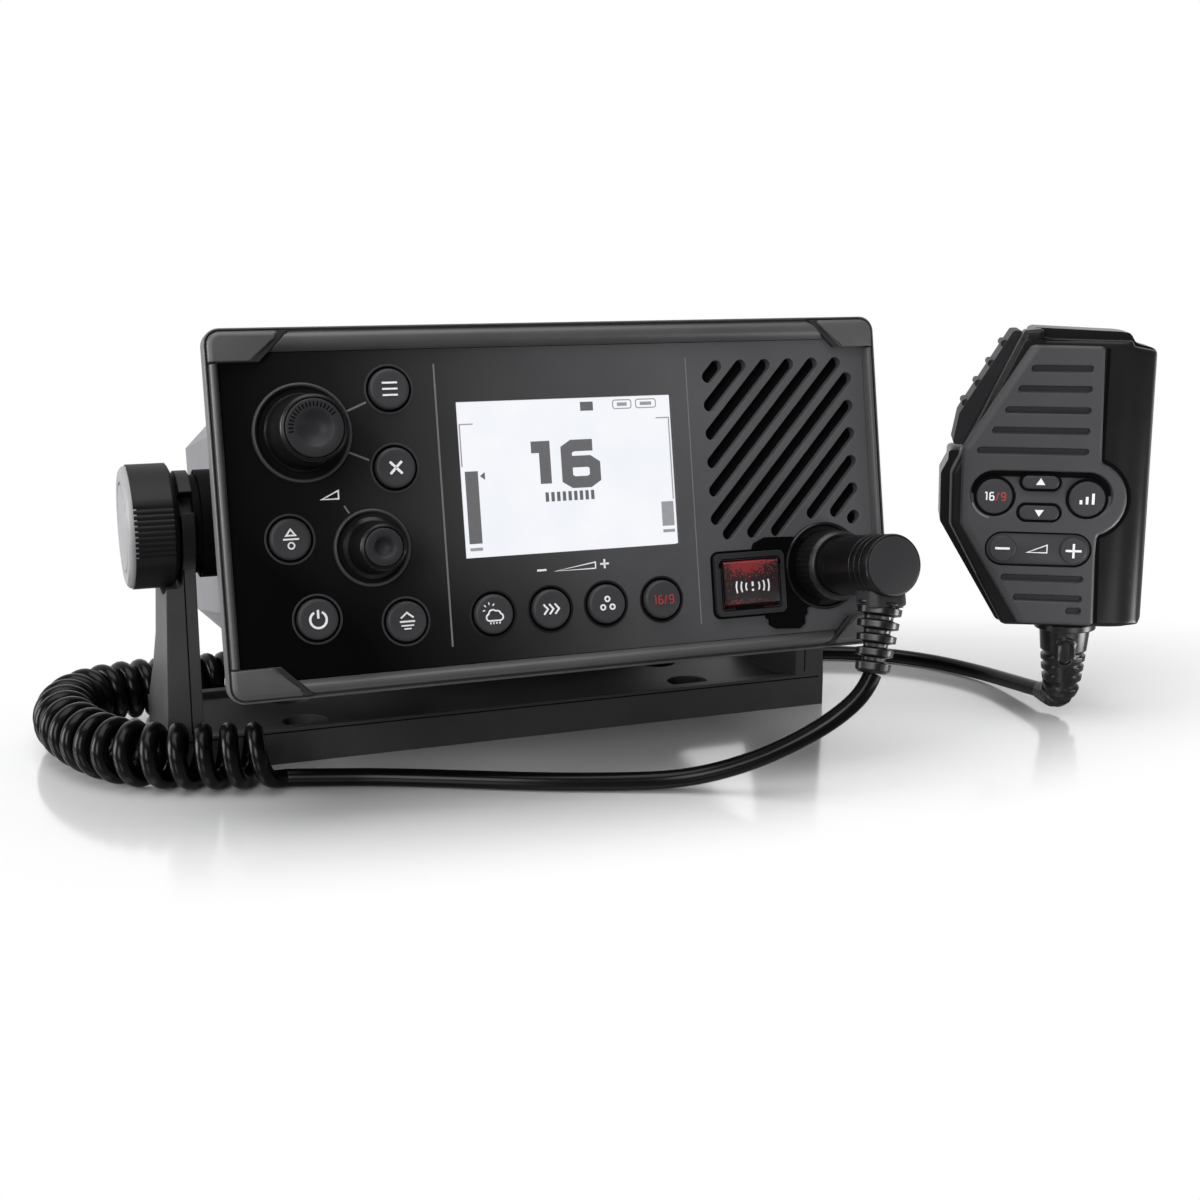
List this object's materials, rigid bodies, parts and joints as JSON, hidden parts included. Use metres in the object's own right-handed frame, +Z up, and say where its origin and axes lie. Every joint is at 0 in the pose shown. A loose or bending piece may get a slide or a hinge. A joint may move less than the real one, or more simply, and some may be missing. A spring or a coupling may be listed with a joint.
{
  "type": "vhf marine radio",
  "caption": "Fixed-mount marine VHF radio in a tilting bracket, with round keys, two knobs, a screen, a slotted speaker and a fist microphone on a coiled cord.",
  "frame": {"origin": "on the mounting surface, under the bracket's tilt axis and midway between its arms", "axes": "+X to the radio's right seen from the front, the face looks to -Y, +Z up; the tilt axis is parallel to X at Z 66.9 mm"},
  "size_m": [0.3195, 0.2038, 0.1214],
  "materials": {
    "bezel_plastic": "fine grained satin charcoal",
    "panel_plastic": "satin near-black panel with fine printed lines",
    "clear_lens": "clear screen window",
    "display": "backlit white display with dark figures",
    "key_plastic": "soft satin dark grey",
    "steel": "plain steel",
    "encoder_plastic": "moulded encoder housing",
    "distress_red": "red button",
    "distress_smoke": "smoked red flip cover",
    "gloss_black": "gloss black",
    "speaker_black": "black paper and ferrite",
    "silicone": "black silicone",
    "circuit_board": "solder-masked board",
    "case_metal": "black powder coat on cast aluminium",
    "hub_plastic": "black glass-filled plastic",
    "nickel": "nickel-plated brass",
    "cord_rubber": "smooth black jacket",
    "bracket_plastic": "fine textured charcoal",
    "handset_panel": "satin dark grey",
    "handset_keys": "satin dark grey keys"
  },
  "bodies": {
    "bracket": {"bracket": "bracket_plastic", "friction_washers": "silicone", "cord_front_lead": "cord_rubber", "cord_coil": "cord_rubber", "cord_rear_lead": "cord_rubber"},
    "radio": {"front_bezel": "bezel_plastic", "corner_caps": "bezel_plastic", "face_panel": "panel_plastic", "screen_lens": "clear_lens", "screen_module": "display", "rotary_encoders": "encoder_plastic", "distress_surround": "gloss_black", "speaker_driver": "speaker_black", "key_mat": "silicone", "key_board": "circuit_board", "main_board": "circuit_board", "rf_shield": "steel", "front_gasket": "silicone", "rear_case": "case_metal", "tilt_hubs": "hub_plastic", "case_screws": "steel", "antenna_socket": "nickel", "power_gland": "cord_rubber", "mic_socket": "gloss_black", "plug_body": "cord_rubber", "plug_boot": "cord_rubber"},
    "left_bracket_knob": {"left_bracket_knob": "hub_plastic"},
    "right_bracket_knob": {"right_bracket_knob": "hub_plastic"},
    "channel_plunger": {"channel_plunger": "steel"},
    "channel_knob": {"channel_knob": "key_plastic"},
    "volume_plunger": {"volume_plunger": "steel"},
    "volume_knob": {"volume_knob": "key_plastic"},
    "distress_cover": {"distress_cover": "distress_smoke"},
    "distress_button": {"distress_button": "distress_red"},
    "plug_lock_ring": {"plug_lock_ring": "cord_rubber"},
    "key_menu": {"key_menu": "key_plastic"},
    "key_cancel": {"key_cancel": "key_plastic"},
    "key_intercom": {"key_intercom": "key_plastic"},
    "key_power": {"key_power": "key_plastic"},
    "key_position": {"key_position": "key_plastic"},
    "key_weather": {"key_weather": "key_plastic"},
    "key_scan": {"key_scan": "key_plastic"},
    "key_watch": {"key_watch": "key_plastic"},
    "key_channel_16": {"key_channel_16": "key_plastic"},
    "handset": {"handset_front_shell": "gloss_black", "handset_rear_shell": "gloss_black", "handset_face": "handset_panel", "handset_board": "circuit_board", "handset_speaker": "speaker_black", "mic_capsule": "speaker_black", "hang_stud": "gloss_black", "handset_screws": "steel", "handset_boot": "cord_rubber"},
    "ptt_key": {"ptt_key": "handset_keys"},
    "handset_key_16": {"handset_key_16": "handset_keys"},
    "handset_key_power": {"handset_key_power": "handset_keys"},
    "channel_up_key": {"channel_up_key": "handset_keys"},
    "channel_down_key": {"channel_down_key": "handset_keys"},
    "volume_down_key": {"volume_down_key": "handset_keys"},
    "volume_up_key": {"volume_up_key": "handset_keys"}
  },
  "joints": [
    {"name": "radio_tilt", "type": "hinge", "parent": "bracket", "child": "radio", "pos_m": [0, 0, 0.0669], "axis": [1, 0, 0], "range_deg": [-3, 15], "deforming": ["cord_front_lead"]},
    {"name": "left_knob_turn", "type": "hinge", "parent": "bracket", "child": "left_bracket_knob", "pos_m": [-0.10035, 0, 0.0669], "axis": [1, 0, 0], "continuous": true},
    {"name": "right_knob_turn", "type": "hinge", "parent": "bracket", "child": "right_bracket_knob", "pos_m": [0.10035, 0, 0.0669], "axis": [1, 0, 0], "continuous": true},
    {"name": "channel_knob_push", "type": "slide", "parent": "radio", "child": "channel_plunger", "axis": [0, 0.9836, -0.1805], "range_m": [0, 0.0008], "stiffness_N_per_m": 3000},
    {"name": "channel_knob_turn", "type": "hinge", "parent": "channel_plunger", "child": "channel_knob", "pos_m": [-0.0681, -0.05946, 0.09744], "axis": [0, -0.9836, 0.1805], "continuous": true},
    {"name": "volume_knob_push", "type": "slide", "parent": "radio", "child": "volume_plunger", "axis": [0, 0.9836, -0.1805], "range_m": [0, 0.0008], "stiffness_N_per_m": 3000},
    {"name": "volume_knob_turn", "type": "hinge", "parent": "volume_plunger", "child": "volume_knob", "pos_m": [-0.053, -0.06366, 0.06903], "axis": [0, -0.9836, 0.1805], "continuous": true},
    {"name": "key_menu_press", "type": "slide", "parent": "radio", "child": "key_menu", "axis": [0, 0.9836, -0.1805], "range_m": [0, 0.0008], "stiffness_N_per_m": 2500},
    {"name": "key_cancel_press", "type": "slide", "parent": "radio", "child": "key_cancel", "axis": [0, 0.9836, -0.1805], "range_m": [0, 0.0008], "stiffness_N_per_m": 2500},
    {"name": "key_intercom_press", "type": "slide", "parent": "radio", "child": "key_intercom", "axis": [0, 0.9836, -0.1805], "range_m": [0, 0.0008], "stiffness_N_per_m": 2500},
    {"name": "key_power_press", "type": "slide", "parent": "radio", "child": "key_power", "axis": [0, 0.9836, -0.1805], "range_m": [0, 0.0008], "stiffness_N_per_m": 2500},
    {"name": "key_position_press", "type": "slide", "parent": "radio", "child": "key_position", "axis": [0, 0.9836, -0.1805], "range_m": [0, 0.0008], "stiffness_N_per_m": 2500},
    {"name": "key_weather_press", "type": "slide", "parent": "radio", "child": "key_weather", "axis": [0, 0.9836, -0.1805], "range_m": [0, 0.0008], "stiffness_N_per_m": 2500},
    {"name": "key_scan_press", "type": "slide", "parent": "radio", "child": "key_scan", "axis": [0, 0.9836, -0.1805], "range_m": [0, 0.0008], "stiffness_N_per_m": 2500},
    {"name": "key_watch_press", "type": "slide", "parent": "radio", "child": "key_watch", "axis": [0, 0.9836, -0.1805], "range_m": [0, 0.0008], "stiffness_N_per_m": 2500},
    {"name": "key_channel_16_press", "type": "slide", "parent": "radio", "child": "key_channel_16", "axis": [0, 0.9836, -0.1805], "range_m": [0, 0.0008], "stiffness_N_per_m": 2500},
    {"name": "distress_cover_flip", "type": "hinge", "parent": "radio", "child": "distress_cover", "pos_m": [0.04775, -0.06003, 0.05723], "axis": [-1, 0, 0], "range_deg": [0, 100], "stiffness_Nm_per_rad": 0.002, "springref_deg": -8.59},
    {"name": "distress_button_press", "type": "slide", "parent": "radio", "child": "distress_button", "axis": [0, 0.9836, -0.1805], "range_m": [0, 0.001], "stiffness_N_per_m": 3000},
    {"name": "lock_ring_turn", "type": "hinge", "parent": "radio", "child": "plug_lock_ring", "pos_m": [0.071, -0.06552, 0.05615], "axis": [0, -0.9836, 0.1805], "range_deg": [0, 60]},
    {"name": "handset_lift", "type": "slide", "parent": "bracket", "child": "handset", "axis": [0, 0, 1], "range_m": [0, 0.05], "deforming": ["cord_rear_lead"]},
    {"name": "ptt_press", "type": "slide", "parent": "handset", "child": "ptt_key", "axis": [0.7355, -0.442, -0.5135], "range_m": [0, 0.002], "stiffness_N_per_m": 1500},
    {"name": "handset_key_16_press", "type": "slide", "parent": "handset", "child": "handset_key_16", "axis": [0.515, 0.8572, 0], "range_m": [0, 0.0007], "stiffness_N_per_m": 2500},
    {"name": "handset_key_power_press", "type": "slide", "parent": "handset", "child": "handset_key_power", "axis": [0.515, 0.8572, 0], "range_m": [0, 0.0007], "stiffness_N_per_m": 2500},
    {"name": "channel_up_key_press", "type": "slide", "parent": "handset", "child": "channel_up_key", "axis": [0.515, 0.8572, 0], "range_m": [0, 0.0007], "stiffness_N_per_m": 2500},
    {"name": "channel_down_key_press", "type": "slide", "parent": "handset", "child": "channel_down_key", "axis": [0.515, 0.8572, 0], "range_m": [0, 0.0007], "stiffness_N_per_m": 2500},
    {"name": "volume_down_key_press", "type": "slide", "parent": "handset", "child": "volume_down_key", "axis": [0.515, 0.8572, 0], "range_m": [0, 0.0007], "stiffness_N_per_m": 2500},
    {"name": "volume_up_key_press", "type": "slide", "parent": "handset", "child": "volume_up_key", "axis": [0.515, 0.8572, 0], "range_m": [0, 0.0007], "stiffness_N_per_m": 2500}
  ]
}
